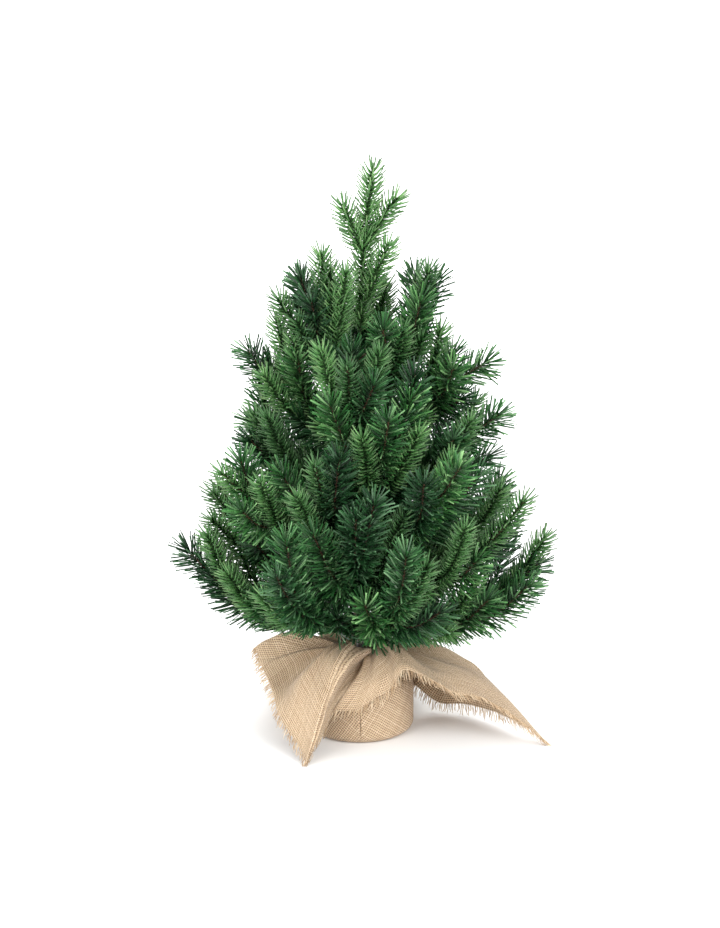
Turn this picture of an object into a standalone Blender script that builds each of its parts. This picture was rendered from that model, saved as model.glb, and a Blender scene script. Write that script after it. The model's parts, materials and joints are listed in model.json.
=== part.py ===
"""Artificial tabletop tree, 600 mm tall, on a cement weight wrapped in burlap.

The frame's origin is the centre of the drum's underside, +Z is up, and the tree's front faces -Y.
A steel pole stands in the cement. Six whorls of bendable twisted-wire branches leave the binding
that is wound round the pole, and each branch carries a brush of needles. Every branch has its
origin at the point where its wire bends, on the binding's surface. Sizes are in metres.
"""

from math import cos, pi, radians, sin

import bmesh
import bpy
import numpy as np

# Fits
CLEARANCE = 0.0003  # between pieces that touch
CLOTH_SLACK = 0.0004  # between the burlap and what it wraps

# Overall sizes
TREE_HEIGHT = 0.600
POLE_TOP = 0.400

# Pole and the binding wound round it
POLE_RADIUS = 0.0040
POLE_WALL = 0.0010
POLE_FOOT = 0.0120
BINDING_BOTTOM = 0.0960
BINDING_WALL = 0.0024
BINDING_RIB = 0.0006
BINDING_PITCH = 0.0160

# Drum: cement cast in a thin plastic cup
CUP_RADIUS = 0.0540
CUP_WALL = 0.0012
CUP_HEIGHT = 0.0380
CUP_EDGE = 0.0070
WEIGHT_TOP = 0.0600
WEIGHT_EDGE = 0.0160

# Burlap
CLOTH_THICKNESS = 0.0016
SKIRT_THICKNESS = 0.0024
NECK_HEIGHT = 0.0725
NECK_BAND = 0.0080
NECK_GATHER = 0.0080  # thickness of the gathered cloth at the neck
TIE_WIRE = 0.0026

# Branches
WIRE_RADIUS = 0.0013
BORE_GAP = 0.0004  # round the wire, inside the needles
VALLEY_WALL = 0.0011  # of needle root round the bore
BRUSH_RADIUS = 0.0135
BRANCH_BARE = 0.032  # of wire between the binding and the needles
BRUSH_OVERHANG = 0.010  # needles past the wire's tip
BEND_UP = 20.0  # degrees that a wire's end may turn up without touching the binding
LEADER_BRUSH_RADIUS = 0.0120
LEADER_LEAN = 5.0
LEADER_BARE = 0.022

# Facets
TURN_STEPS = 24
POLE_STEPS = 12
CLOTH_STEPS = 36
ARMS = 6
BRUSH_STATIONS = 7

# Whorls, bottom to top: height, then for each branch its heading in degrees from +X, its wire's
# length, its slope at the trunk and at the tip in degrees, and how far it sways sideways.
WHORLS = (
    (0.110, (
        (350, 0.200, 2, 50, 6),
        (52, 0.200, 8, 50, 0),
        (122, 0.198, 8, 52, 0),
        (190, 0.205, 6, 52, -4),
        (240, 0.190, 8, 58, 0),
        (294, 0.185, 12, 74, -12),
    )),
    (0.150, (
        (16, 0.200, 18, 52, 0),
        (88, 0.190, 20, 56, 0),
        (163, 0.190, 18, 52, 0),
        (265, 0.172, 18, 70, 8),
        (331, 0.212, 8, 54, 0),
    )),
    (0.194, (
        (48, 0.178, 30, 54, 0),
        (130, 0.178, 30, 54, 0),
        (208, 0.195, 22, 50, 0),
        (248, 0.165, 28, 68, 0),
        (308, 0.195, 24, 55, 0),
    )),
    (0.242, (
        (345, 0.178, 34, 48, 0),
        (92, 0.162, 38, 58, 0),
        (183, 0.172, 36, 50, 0),
        (286, 0.150, 34, 68, 0),
    )),
    (0.293, (
        (4, 0.160, 48, 34, 0),
        (165, 0.150, 44, 58, 0),
        (262, 0.140, 44, 66, 0),
    )),
    (0.345, (
        (350, 0.170, 58, 70, 0),
        (80, 0.130, 58, 70, 0),
        (190, 0.160, 64, 76, 0),
    )),
)

# Burlap skirt above the neck: headings in degrees, and down each the cloth's radius and height.
SKIRT = (
    (8, ((0.026, 0.089), (0.052, 0.087), (0.090, 0.075), (0.116, 0.058), (0.136, 0.042))),
    (22, ((0.026, 0.088), (0.050, 0.083), (0.070, 0.066), (0.081, 0.042), (0.088, 0.018))),
    (44, ((0.026, 0.088), (0.048, 0.082), (0.066, 0.070), (0.080, 0.054), (0.090, 0.038))),
    (70, ((0.026, 0.088), (0.054, 0.080), (0.086, 0.058), (0.118, 0.032), (0.146, 0.004))),
    (100, ((0.026, 0.087), (0.044, 0.083), (0.058, 0.075), (0.068, 0.064), (0.074, 0.052))),
    (130, ((0.026, 0.088), (0.052, 0.080), (0.080, 0.060), (0.108, 0.034), (0.132, 0.004))),
    (170, ((0.026, 0.088), (0.048, 0.089), (0.070, 0.087), (0.092, 0.082), (0.112, 0.075))),
    (200, ((0.026, 0.087), (0.044, 0.080), (0.062, 0.068), (0.078, 0.060), (0.094, 0.052))),
    (222, ((0.026, 0.089), (0.048, 0.086), (0.070, 0.070), (0.088, 0.050), (0.105, 0.028))),
    (245, ((0.026, 0.090), (0.050, 0.088), (0.079, 0.064), (0.106, 0.034), (0.132, 0.003))),
    (258, ((0.025, 0.088), (0.044, 0.083), (0.060, 0.068), (0.070, 0.048), (0.078, 0.030))),
    (272, ((0.024, 0.086), (0.041, 0.081), (0.055, 0.071), (0.063, 0.059), (0.067, 0.046))),
    (288, ((0.025, 0.087), (0.041, 0.083), (0.054, 0.076), (0.062, 0.068), (0.068, 0.059))),
    (312, ((0.026, 0.088), (0.041, 0.087), (0.052, 0.084), (0.062, 0.080), (0.070, 0.076))),
    (332, ((0.026, 0.089), (0.050, 0.085), (0.076, 0.074), (0.096, 0.060), (0.113, 0.046))),
    (348, ((0.026, 0.089), (0.056, 0.085), (0.098, 0.066), (0.145, 0.034), (0.187, 0.003))),
)

CLOTH_FLOOR = CLOTH_THICKNESS + CLOTH_SLACK
CUP_FLOOR = CLOTH_FLOOR + CUP_WALL + CLEARANCE
BINDING_RADIUS = POLE_RADIUS + CLEARANCE + BINDING_WALL
BORE_RADIUS = WIRE_RADIUS + BORE_GAP


def clear_scene():
    """Remove whatever the scene holds."""
    for item in list(bpy.data.objects):
        bpy.data.objects.remove(item, do_unlink=True)


def material(name, color, roughness, metallic=0.0):
    """A Principled material with the piece's colour, roughness and metallic value."""
    made = bpy.data.materials.new(name)
    made.use_nodes = True
    shader = made.node_tree.nodes["Principled BSDF"]
    shader.inputs["Base Color"].default_value = (*color, 1.0)
    shader.inputs["Roughness"].default_value = roughness
    shader.inputs["Metallic"].default_value = metallic
    return made


def add_object(name, bm, finish, sharp=40.0, origin=(0.0, 0.0, 0.0)):
    """Put a bmesh, built in world coordinates, into an object whose origin is at the given point."""
    bmesh.ops.translate(bm, verts=bm.verts, vec=[-value for value in origin])
    bmesh.ops.recalc_face_normals(bm, faces=bm.faces)
    mesh = bpy.data.meshes.new(name)
    bm.to_mesh(mesh)
    bm.free()
    mesh.materials.append(finish)
    mesh.shade_smooth()
    mesh.set_sharp_from_angle(angle=radians(sharp))
    made = bpy.data.objects.new(name, mesh)
    made.location = origin
    bpy.context.scene.collection.objects.link(made)
    return made


def turned(name, outline, finish, steps=TURN_STEPS, closed=False):
    """A solid of revolution about Z from an outline of (radius, height) points."""
    bm = bmesh.new()
    verts = [bm.verts.new((radius, 0.0, height)) for radius, height in outline]
    edges = [bm.edges.new(pair) for pair in zip(verts, verts[1:])]
    if closed:
        edges.append(bm.edges.new((verts[-1], verts[0])))
    bmesh.ops.spin(bm, geom=verts + edges, axis=(0, 0, 1), cent=(0, 0, 0), angle=2 * pi,
                   steps=steps, use_merge=True)
    bmesh.ops.remove_doubles(bm, verts=bm.verts, dist=1e-6)
    return add_object(name, bm, finish)


def quarter(centre, radius, first, last, count):
    """Points of an arc in the (radius, height) plane, from one angle to the other, in degrees."""
    angles = np.radians(np.linspace(first, last, count))
    return [(centre[0] + radius * cos(a), centre[1] + radius * sin(a)) for a in angles]


def base_cup():
    """The thin plastic cup that the cement is cast in, with a rounded lower edge."""
    inner_edge = CUP_EDGE - CUP_WALL
    edge_centre = (CUP_RADIUS - CUP_EDGE, CLOTH_FLOOR + CUP_EDGE)
    outside = [(0.0, CLOTH_FLOOR)] + quarter(edge_centre, CUP_EDGE, -90, 0, 5)
    inside = quarter(edge_centre, inner_edge, 0, -90, 5) + [(0.0, CLOTH_FLOOR + CUP_WALL)]
    rim = [(CUP_RADIUS, CUP_HEIGHT), (CUP_RADIUS - CUP_WALL, CUP_HEIGHT)]
    finish = material("cup_plastic", (0.03, 0.03, 0.03), 0.5)
    turned("base_cup", outside + rim + inside, finish)


def base_weight():
    """The cement weight, with a rounded shoulder and a blind hole for the pole."""
    radius = CUP_RADIUS - CUP_WALL - CLEARANCE
    lower_edge = CUP_EDGE - CUP_WALL
    hole = POLE_RADIUS + CLEARANCE
    outline = [(0.0, CUP_FLOOR)]
    outline += quarter((radius - lower_edge, CUP_FLOOR + lower_edge), lower_edge, -90, 0, 4)
    outline += quarter((radius - WEIGHT_EDGE, WEIGHT_TOP - WEIGHT_EDGE), WEIGHT_EDGE, 0, 90, 6)
    outline += [(hole, WEIGHT_TOP), (hole, POLE_FOOT - CLEARANCE), (0.0, POLE_FOOT - CLEARANCE)]
    turned("base_weight", outline, material("cement", (0.42, 0.41, 0.38), 0.9))


def trunk_pole():
    """The painted steel tube that carries every branch."""
    bore = POLE_RADIUS - POLE_WALL
    outline = [(POLE_RADIUS, POLE_FOOT), (POLE_RADIUS, POLE_TOP), (bore, POLE_TOP), (bore, POLE_FOOT)]
    finish = material("pole_paint", (0.02, 0.07, 0.03), 0.45)
    turned("trunk_pole", outline, finish, POLE_STEPS, closed=True)


def trunk_binding():
    """The tape and wire wound round the pole, a ribbed sleeve from above the burlap to the top."""
    inner = POLE_RADIUS + CLEARANCE
    top = POLE_TOP - CLEARANCE
    turns = round((top - BINDING_BOTTOM) / BINDING_PITCH)
    heights = np.linspace(BINDING_BOTTOM, top, 2 * turns + 1)
    outline = [(BINDING_RADIUS + BINDING_RIB * (i % 2), height) for i, height in enumerate(heights)]
    outline += [(inner, top), (inner, BINDING_BOTTOM)]
    finish = material("binding_tape", (0.015, 0.05, 0.02), 0.6)
    turned("trunk_binding", outline, finish, POLE_STEPS, closed=True)


def drum_profile():
    """The burlap's outer and inner outlines from the underside's centre to the neck."""
    outer = CUP_RADIUS + CLOTH_SLACK + CLOTH_THICKNESS
    edge = CUP_EDGE + CLOTH_SLACK + CLOTH_THICKNESS
    shoulder = WEIGHT_EDGE + CLOTH_SLACK + CLOTH_THICKNESS
    top = WEIGHT_TOP + CLOTH_SLACK + CLOTH_THICKNESS
    drum_outside = [(0.0, 0.0), (0.6 * outer, 0.0)]
    drum_outside += quarter((outer - edge, edge), edge, -90, 0, 4)
    drum_outside += quarter((outer - shoulder, top - shoulder), shoulder, 0, 90, 4)
    edge_centre = (outer - edge, edge)
    shoulder_centre = (outer - shoulder, top - shoulder)
    drum_inside = [(0.0, CLOTH_THICKNESS), (0.6 * outer, CLOTH_THICKNESS)]
    drum_inside += quarter(edge_centre, edge - CLOTH_THICKNESS, -90, 0, 4)
    drum_inside += quarter(shoulder_centre, shoulder - CLOTH_THICKNESS, 0, 90, 4)
    neck = POLE_RADIUS + CLOTH_SLACK
    neck_bottom = NECK_HEIGHT - NECK_BAND / 2
    neck_top = NECK_HEIGHT + NECK_BAND / 2
    gather = neck + NECK_GATHER
    outside = drum_outside + [(gather, neck_bottom), (gather, neck_top)]
    inside = drum_inside + [(neck, neck_bottom), (neck, neck_top)]
    return outside, inside


def skirt_rows(angles):
    """The skirt's middle surface: radius and height for each row and heading, eased between ribs."""
    headings = np.array([heading for heading, _ in SKIRT], float)
    ribs = np.array([rib for _, rib in SKIRT])
    following = np.append(headings[1:], headings[0] + 360)
    turned_angles = np.where(angles < headings[0], angles + 360, angles)
    left = np.searchsorted(headings, turned_angles, side="right") - 1
    share = (turned_angles - headings[left]) / (following - headings)[left]
    ease = (0.5 - 0.5 * np.cos(pi * share))[:, None, None]
    right = (left + 1) % len(headings)
    return (ribs[left] * (1 - ease) + ribs[right] * ease).transpose(1, 0, 2)


def burlap_wrap():
    """The burlap square: round the drum, gathered at the neck, and spread into a draped skirt."""
    angles = np.arange(CLOTH_STEPS) * 360.0 / CLOTH_STEPS
    outside, inside = drum_profile()
    middle = skirt_rows(angles)
    neck_ring = np.full((1, CLOTH_STEPS, 2), (inside[-1][0], NECK_HEIGHT + NECK_BAND / 2))
    run = np.gradient(np.concatenate([neck_ring, middle]), axis=0)[1:]
    across = np.stack([-run[..., 1], run[..., 0]], axis=2)
    offset = across / np.linalg.norm(across, axis=2, keepdims=True) * SKIRT_THICKNESS / 2
    outer_rows = [np.full((CLOTH_STEPS, 2), point) for point in outside] + list(middle - offset)
    inner_rows = [np.full((CLOTH_STEPS, 2), point) for point in inside] + list(middle + offset)
    bm = bmesh.new()
    surfaces = [cloth_surface(bm, rows, np.radians(angles)) for rows in (outer_rows, inner_rows)]
    hem_out, hem_in = surfaces[0][-1], surfaces[1][-1]
    for i in range(CLOTH_STEPS):
        j = (i + 1) % CLOTH_STEPS
        bm.faces.new((hem_out[i], hem_out[j], hem_in[j], hem_in[i]))
    add_object("burlap_wrap", bm, material("burlap", (0.52, 0.38, 0.24), 0.95), sharp=60.0)


def cloth_surface(bm, rows, angles):
    """One face of the cloth from its centre point outwards, as rings of vertices."""
    centre = bm.verts.new((0.0, 0.0, rows[0][0][1]))
    rings = []
    for row in rows[1:]:
        places = zip(row[:, 0] * np.cos(angles), row[:, 0] * np.sin(angles), row[:, 1])
        rings.append([bm.verts.new(place) for place in places])
    for i in range(CLOTH_STEPS):
        j = (i + 1) % CLOTH_STEPS
        bm.faces.new((centre, rings[0][i], rings[0][j]))
        for low, high in zip(rings, rings[1:]):
            bm.faces.new((low[i], high[i], high[j], low[j]))
    return rings


def neck_tie():
    """The twine that cinches the burlap round the pole."""
    inner = POLE_RADIUS + CLOTH_SLACK + NECK_GATHER + CLEARANCE
    centre = (inner + TIE_WIRE, NECK_HEIGHT)
    outline = quarter(centre, TIE_WIRE, 0, 315, 8)
    turned("neck_tie", outline, material("twine", (0.45, 0.33, 0.20), 0.9), closed=True)


def spine(start, heading, length, slope, tip_slope, sway, stations):
    """Points and frames along a bent wire whose slope and heading change evenly with its length.

    Stations are distances along the wire, and may run past its tip. Each frame is the direction
    across the wire in the horizontal plane and the direction across it that points up.
    """
    fine = np.linspace(0.0, stations[-1], 200)
    middle = (fine[1:] + fine[:-1]) / 2
    directions = wire_directions(middle / length, heading, slope, tip_slope, sway)[0]
    steps = directions * np.diff(fine)[:, None]
    path = np.vstack([np.zeros(3), np.cumsum(steps, axis=0)]) + np.array(start)
    points = np.column_stack([np.interp(stations, fine, path[:, k]) for k in range(3)])
    return (points, *wire_directions(stations / length, heading, slope, tip_slope, sway)[1:])


def wire_directions(share, heading, slope, tip_slope, sway):
    """The wire's direction, its sideways direction and its upward direction at each share."""
    climb = np.radians(slope + (tip_slope - slope) * share)
    turn = np.radians(heading + sway * share)
    along = np.column_stack([np.cos(climb) * np.cos(turn), np.cos(climb) * np.sin(turn), np.sin(climb)])
    sideways = np.column_stack([-np.sin(turn), np.cos(turn), np.zeros_like(turn)])
    return along, sideways, np.cross(along, sideways)


def ring(bm, point, sideways, upward, radii, turn):
    """A ring of vertices about a point of the wire, one for each radius, turned by an angle."""
    count = len(radii)
    verts = []
    for i, radius in enumerate(radii):
        angle = 2 * pi * i / count + turn
        verts.append(bm.verts.new(point + radius * (cos(angle) * sideways + sin(angle) * upward)))
    return verts


def bridge(bm, rings):
    """Quads between successive rings of equal size."""
    for low, high in zip(rings, rings[1:]):
        for i in range(len(low)):
            j = (i + 1) % len(low)
            bm.faces.new((low[i], low[j], high[j], high[i]))


def brush_stations(length, bare):
    """Distances along the wire of the brush's rings, the last of them past the wire's tip."""
    return np.append(np.linspace(bare, length, BRUSH_STATIONS - 1), length + BRUSH_OVERHANG)


def wire(name, shape, start, bare, finish):
    """A branch's twisted wire as one six-sided rod, bent at the same stations as its brush."""
    stations = np.append(0.0, brush_stations(shape[1], bare)[:-1])
    points, sideways, upward = spine(start, *shape, stations)
    bm = bmesh.new()
    rings = [ring(bm, *frame, [WIRE_RADIUS] * ARMS, 0.0) for frame in zip(points, sideways, upward)]
    bridge(bm, rings)
    bm.faces.new(rings[0])
    bm.faces.new(rings[-1])
    add_object(name, bm, finish, origin=start)


def brush(name, shape, start, reach, bare, finish):
    """A brush of needles round the wire: a twisted star of six fins with a bore for the wire."""
    stations = brush_stations(shape[1], bare)
    share = np.linspace(0.0, 1.0, BRUSH_STATIONS)
    fins = reach * (0.62 + 0.38 * np.sin(pi * np.clip(1.15 * share, 0.0, 1.0)))
    valley = BORE_RADIUS + VALLEY_WALL
    points, sideways, upward = spine(start, *shape, stations)
    bm = bmesh.new()
    stars = []
    bores = []
    for k, frame in enumerate(zip(points, sideways, upward)):
        turn = 2 * pi / ARMS * share[k]
        stars.append(ring(bm, *frame, [valley, fins[k]] * ARMS, turn))
        bores.append(ring(bm, *frame, [BORE_RADIUS] * ARMS, 0.0))
    bridge(bm, stars)
    bridge(bm, bores)
    close_brush(bm, stars[0], bores[0], 0)
    close_brush(bm, stars[-1], bores[-1], 1)
    add_object(name, bm, finish, origin=start)


def close_brush(bm, star, bore, shift):
    """The flat end of a brush, between its star and its bore; shift counts the fins of twist."""
    for i in range(ARMS):
        j = (i + 1) % ARMS
        valley_a, fin, valley_b = star[2 * i], star[2 * i + 1], star[2 * j]
        bm.faces.new((valley_a, fin, valley_b))
        bm.faces.new((valley_a, valley_b, bore[(j + shift) % ARMS], bore[(i + shift) % ARMS]))


def branch_start(height, heading, slope):
    """Where a branch's wire begins: off the binding by the reach of its end when bent up."""
    end_reach = WIRE_RADIUS * sin(radians(min(slope + BEND_UP, 90.0)))
    radius = BINDING_RADIUS + BINDING_RIB + CLEARANCE + end_reach
    return (radius * cos(radians(heading)), radius * sin(radians(heading)), height)


def branches():
    """Every branch: its wire from the binding's surface outwards, and its needles."""
    wire_finish = material("wire_brown", (0.13, 0.06, 0.03), 0.55)
    needle_finish = material("needle_green", (0.03, 0.11, 0.03), 0.4)
    number = 0
    for height, whorl in WHORLS:
        for shape in whorl:
            number += 1
            start = branch_start(height, shape[0], shape[2])
            wire(f"branch_{number:02d}_wire", shape, start, BRANCH_BARE, wire_finish)
            brush(f"branch_{number:02d}_needles", shape, start, BRUSH_RADIUS, BRANCH_BARE,
                  needle_finish)


def leader():
    """The upright sprig at the pole's top, with its own bendable wire."""
    start = (0.0, 0.0, POLE_TOP + CLEARANCE)
    length = TREE_HEIGHT - BRUSH_OVERHANG - start[2]
    shape = (0.0, length, 90.0, 90.0 - LEADER_LEAN, 0.0)
    stem_finish = material("leader_stem", (0.10, 0.13, 0.05), 0.5)
    needle_finish = material("leader_green", (0.06, 0.16, 0.05), 0.5)
    wire("leader_wire", shape, start, LEADER_BARE, stem_finish)
    brush("leader_needles", shape, start, LEADER_BRUSH_RADIUS, LEADER_BARE, needle_finish)


def build():
    """Model the whole tree."""
    clear_scene()
    base_cup()
    base_weight()
    burlap_wrap()
    neck_tie()
    trunk_pole()
    trunk_binding()
    branches()
    leader()


build()
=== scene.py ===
import json
from math import pi, radians

import bpy
import numpy as np
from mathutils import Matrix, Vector


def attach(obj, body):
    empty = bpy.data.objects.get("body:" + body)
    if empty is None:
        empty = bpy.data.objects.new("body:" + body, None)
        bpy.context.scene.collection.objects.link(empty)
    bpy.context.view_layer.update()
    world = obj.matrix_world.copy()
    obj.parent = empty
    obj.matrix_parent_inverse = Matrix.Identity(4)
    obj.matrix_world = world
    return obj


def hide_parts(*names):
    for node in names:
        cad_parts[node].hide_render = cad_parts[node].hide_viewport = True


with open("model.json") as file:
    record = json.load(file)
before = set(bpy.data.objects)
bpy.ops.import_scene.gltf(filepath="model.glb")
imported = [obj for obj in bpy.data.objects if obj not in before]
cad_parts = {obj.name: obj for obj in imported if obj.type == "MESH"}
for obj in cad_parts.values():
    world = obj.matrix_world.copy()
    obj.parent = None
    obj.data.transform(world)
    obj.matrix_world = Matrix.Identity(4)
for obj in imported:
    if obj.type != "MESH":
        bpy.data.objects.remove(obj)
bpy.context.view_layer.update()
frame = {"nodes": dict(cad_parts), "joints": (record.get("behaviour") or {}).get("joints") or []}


# --- Studio ---------------------------------------------------------------------------------------
# A pale floor with soft light from a large overhead box, a fill from either side, a wash over the
# floor behind and the open room. The camera stands two and a half metres in front and a metre up,
# and looks slightly down.

EYE_DISTANCE = 2.5
EYE_HEIGHT = 1.003
EYE_TILT = 16.03
SENSOR_HEIGHT = 24.0
LENS = 65.98

camera_data = bpy.data.cameras.new("camera")
camera_data.sensor_fit = "VERTICAL"
camera_data.sensor_height = SENSOR_HEIGHT
camera_data.lens = LENS
camera = bpy.data.objects.new("camera", camera_data)
camera.location = (0.0, -EYE_DISTANCE, EYE_HEIGHT)
camera.rotation_euler = (radians(90.0 - EYE_TILT), 0.0, 0.0)
bpy.context.scene.collection.objects.link(camera)
bpy.context.scene.camera = camera


def soft_light(name, place, aim, size, power):
    """A square area light at a place, facing the aim point."""
    data = bpy.data.lights.new(name, "AREA")
    data.shape = "SQUARE"
    data.size = size
    data.energy = power
    lamp = bpy.data.objects.new(name, data)
    lamp.location = place
    away = [b - a for a, b in zip(place, aim)]
    lamp.rotation_euler = Vector(away).to_track_quat("-Z", "Y").to_euler()
    bpy.context.scene.collection.objects.link(lamp)


TREE_MIDDLE = (0.0, 0.0, 0.30)
soft_light("overhead_box", (0.0, -0.6, 2.4), TREE_MIDDLE, 3.0, 36.0)
soft_light("left_fill", (-2.0, -1.8, 1.3), TREE_MIDDLE, 2.0, 54.0)
soft_light("right_front", (1.8, -2.0, 1.5), TREE_MIDDLE, 1.8, 50.0)
soft_light("back_wash", (0.0, 4.0, 3.0), (0.0, 4.5, 0.0), 4.0, 260.0)

world = bpy.data.worlds.new("room")
world.use_nodes = True
room = world.node_tree.nodes["Background"]
room.inputs["Color"].default_value = (1.0, 1.0, 1.0, 1.0)
seen = world.node_tree.nodes.new("ShaderNodeLightPath")
strength = world.node_tree.nodes.new("ShaderNodeMapRange")  # the room lights less than it shows
strength.inputs["To Min"].default_value = 0.80
strength.inputs["To Max"].default_value = 1.0
world.node_tree.links.new(seen.outputs["Is Camera Ray"], strength.inputs["Value"])
world.node_tree.links.new(strength.outputs["Result"], room.inputs["Strength"])
bpy.context.scene.world = world
bpy.context.scene.view_settings.view_transform = "Standard"


def mesh_piece(name, points, faces, smooth=True):
    """An object at the origin from an array of points and a list of arrays of faces of one size."""
    mesh = bpy.data.meshes.new(name)
    mesh.vertices.add(len(points))
    mesh.vertices.foreach_set("co", np.asarray(points, np.float32).ravel())
    corners = np.concatenate([np.asarray(part, np.int32).ravel() for part in faces])
    sizes = np.concatenate([np.full(len(part), part.shape[1], np.int32) for part in faces])
    mesh.loops.add(len(corners))
    mesh.loops.foreach_set("vertex_index", corners)
    mesh.polygons.add(len(sizes))
    mesh.polygons.foreach_set("loop_start", np.concatenate([[0], np.cumsum(sizes)[:-1]]).astype(np.int32))
    mesh.polygons.foreach_set("use_smooth", np.full(len(sizes), smooth))
    mesh.update(calc_edges=True)
    mesh.validate()
    piece = bpy.data.objects.new(name, mesh)
    bpy.context.scene.collection.objects.link(piece)
    return piece


def plain_material(name, color, roughness, metallic=0.0):
    """A Principled material with its nodes, and its shader for linking more."""
    made = bpy.data.materials.new(name)
    made.use_nodes = True
    shader = made.node_tree.nodes["Principled BSDF"]
    shader.inputs["Base Color"].default_value = (*color, 1.0)
    shader.inputs["Roughness"].default_value = roughness
    shader.inputs["Metallic"].default_value = metallic
    return made, made.node_tree.nodes, made.node_tree.links, shader


floor_points = np.array([(-6, -4, 0), (6, -4, 0), (6, 8, 0), (-6, 8, 0)], float)
studio_floor = mesh_piece("studio_floor", floor_points, [np.array([[0, 1, 2, 3]])])
studio_floor.data.materials.append(plain_material("floor_white", (0.9, 0.9, 0.9), 0.9)[0])


# --- Base and trunk --------------------------------------------------------------------------------
# A cement drum cast in a thin plastic cup, a steel pole standing in its hole, paper tape and wire
# wound round the pole over the branches' roots, and jute twine tied round the cloth at its neck.


def ramp(nodes, links, factor, stops):
    """A colour ramp fed by a socket, with (place, colour) stops, returning its colour."""
    made = nodes.new("ShaderNodeValToRGB")
    links.new(factor, made.inputs["Fac"])
    bands = made.color_ramp.elements
    while len(bands) < len(stops):
        bands.new(0.5)
    for band, (place, color) in zip(bands, stops):
        band.position = place
        band.color = (*color, 1.0)
    return made.outputs["Color"]


def mixed(nodes, links, kind, factor, first, second):
    """Two colours blended in the given way; a number or colour may stand in for a socket."""
    made = nodes.new("ShaderNodeMix")
    made.data_type = "RGBA"
    made.blend_type = kind
    for socket, value in ((made.inputs[0], factor), (made.inputs[6], first), (made.inputs[7], second)):
        if isinstance(value, bpy.types.NodeSocket):
            links.new(value, socket)
        else:
            socket.default_value = value
    return made.outputs[2]


def sums(nodes, links, operation, first, second=None, clamp=False):
    """One arithmetic node; numbers are set on its sockets and sockets linked."""
    made = nodes.new("ShaderNodeMath")
    made.operation = operation
    made.use_clamp = clamp
    for socket, value in zip(made.inputs, (first, second)):
        if isinstance(value, bpy.types.NodeSocket):
            links.new(value, socket)
        elif value is not None:
            socket.default_value = value
    return made.outputs[0]


def noise(nodes, links, vector, scale, detail=2.0):
    """A noise value over a coordinate."""
    made = nodes.new("ShaderNodeTexNoise")
    made.inputs["Scale"].default_value = scale
    made.inputs["Detail"].default_value = detail
    links.new(vector, made.inputs["Vector"])
    return made.outputs["Fac"]


def banded(nodes, links, pitch, starts):
    """Turns wound round the upright axis: 0 to 1 across each, rising one pitch per turn; and places."""
    place = nodes.new("ShaderNodeTexCoord").outputs["Object"]
    split = nodes.new("ShaderNodeSeparateXYZ")
    links.new(place, split.inputs[0])
    turn = sums(nodes, links, "ARCTAN2", split.outputs["Y"], split.outputs["X"])
    turn = sums(nodes, links, "MULTIPLY", turn, starts / (2 * pi))
    height = sums(nodes, links, "DIVIDE", split.outputs["Z"], pitch)
    return sums(nodes, links, "FRACT", sums(nodes, links, "ADD", height, turn)), place


def raised(nodes, links, shader, height, distance):
    """The shader's normal, bumped by a height."""
    bump = nodes.new("ShaderNodeBump")
    bump.inputs["Strength"].default_value = 0.8
    bump.inputs["Distance"].default_value = distance
    links.new(height, bump.inputs["Height"])
    links.new(bump.outputs["Normal"], shader.inputs["Normal"])


def cast_material(name, dark, light, roughness, scale, distance, metallic=0.0):
    """A cast or drawn surface: two shades clouded by noise, which also roughens it."""
    made, nodes, links, shader = plain_material(name, light, roughness, metallic)
    place = nodes.new("ShaderNodeTexCoord").outputs["Object"]
    cloud = noise(nodes, links, place, scale, 5.0)
    links.new(ramp(nodes, links, cloud, ((0.35, dark), (0.65, light))), shader.inputs["Base Color"])
    raised(nodes, links, shader, noise(nodes, links, place, 4 * scale, 3.0), distance)
    return made


def wound_material(name, dark, light, roughness, pitch, starts, distance):
    """Something wound round the trunk: each turn rounded, its colour darkened towards its edges as painted
    shade, down to a dark line between turns.
    """
    made, nodes, links, shader = plain_material(name, light, roughness)
    turn, place = banded(nodes, links, pitch, starts)
    across_turn = sums(nodes, links, "MULTIPLY", turn, sums(nodes, links, "SUBTRACT", 1.0, turn))
    mottled = sums(nodes, links, "MULTIPLY", noise(nodes, links, place, 700.0, 3.0), 0.10)
    shade = sums(nodes, links, "ADD", across_turn, mottled)
    # painted shade: dark where the turns meet, light along the middle of each turn
    links.new(ramp(nodes, links, shade, ((0.05, dark), (0.26, light))), shader.inputs["Base Color"])
    raised(nodes, links, shader, across_turn, distance)
    return made


def coat(node, finish):
    """Give a CAD node its material."""
    materials = frame["nodes"][node].data.materials
    materials.clear()
    materials.append(finish)


coat("base_weight", cast_material("cement", (0.30, 0.29, 0.27), (0.50, 0.49, 0.46), 0.9, 90.0, 0.0006))
coat("base_cup", cast_material("cup_plastic", (0.030, 0.030, 0.032), (0.045, 0.045, 0.048), 0.5, 60.0,
                               0.0001))
coat("trunk_pole", cast_material("pole_steel", (0.30, 0.30, 0.30), (0.42, 0.42, 0.41), 0.35, 300.0,
                                 0.0001, metallic=1.0))
coat("trunk_binding", wound_material("binding_tape", (0.020, 0.012, 0.007), (0.095, 0.055, 0.030), 0.6,
                                     0.009, 1.0, 0.0010))
coat("neck_tie", wound_material("twine", (0.25, 0.16, 0.09), (0.62, 0.46, 0.30), 0.9, 0.004, 9.0, 0.0006))


# --- Needles ---------------------------------------------------------------------------------------
# Two sorts. Strips are flat lengths cut from shiny PVC film and twisted into a brown wire pair.
# Moulded needles are thin polyethylene spikes that curve forward from a moulded green stem.

rng = np.random.default_rng(24)

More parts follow.
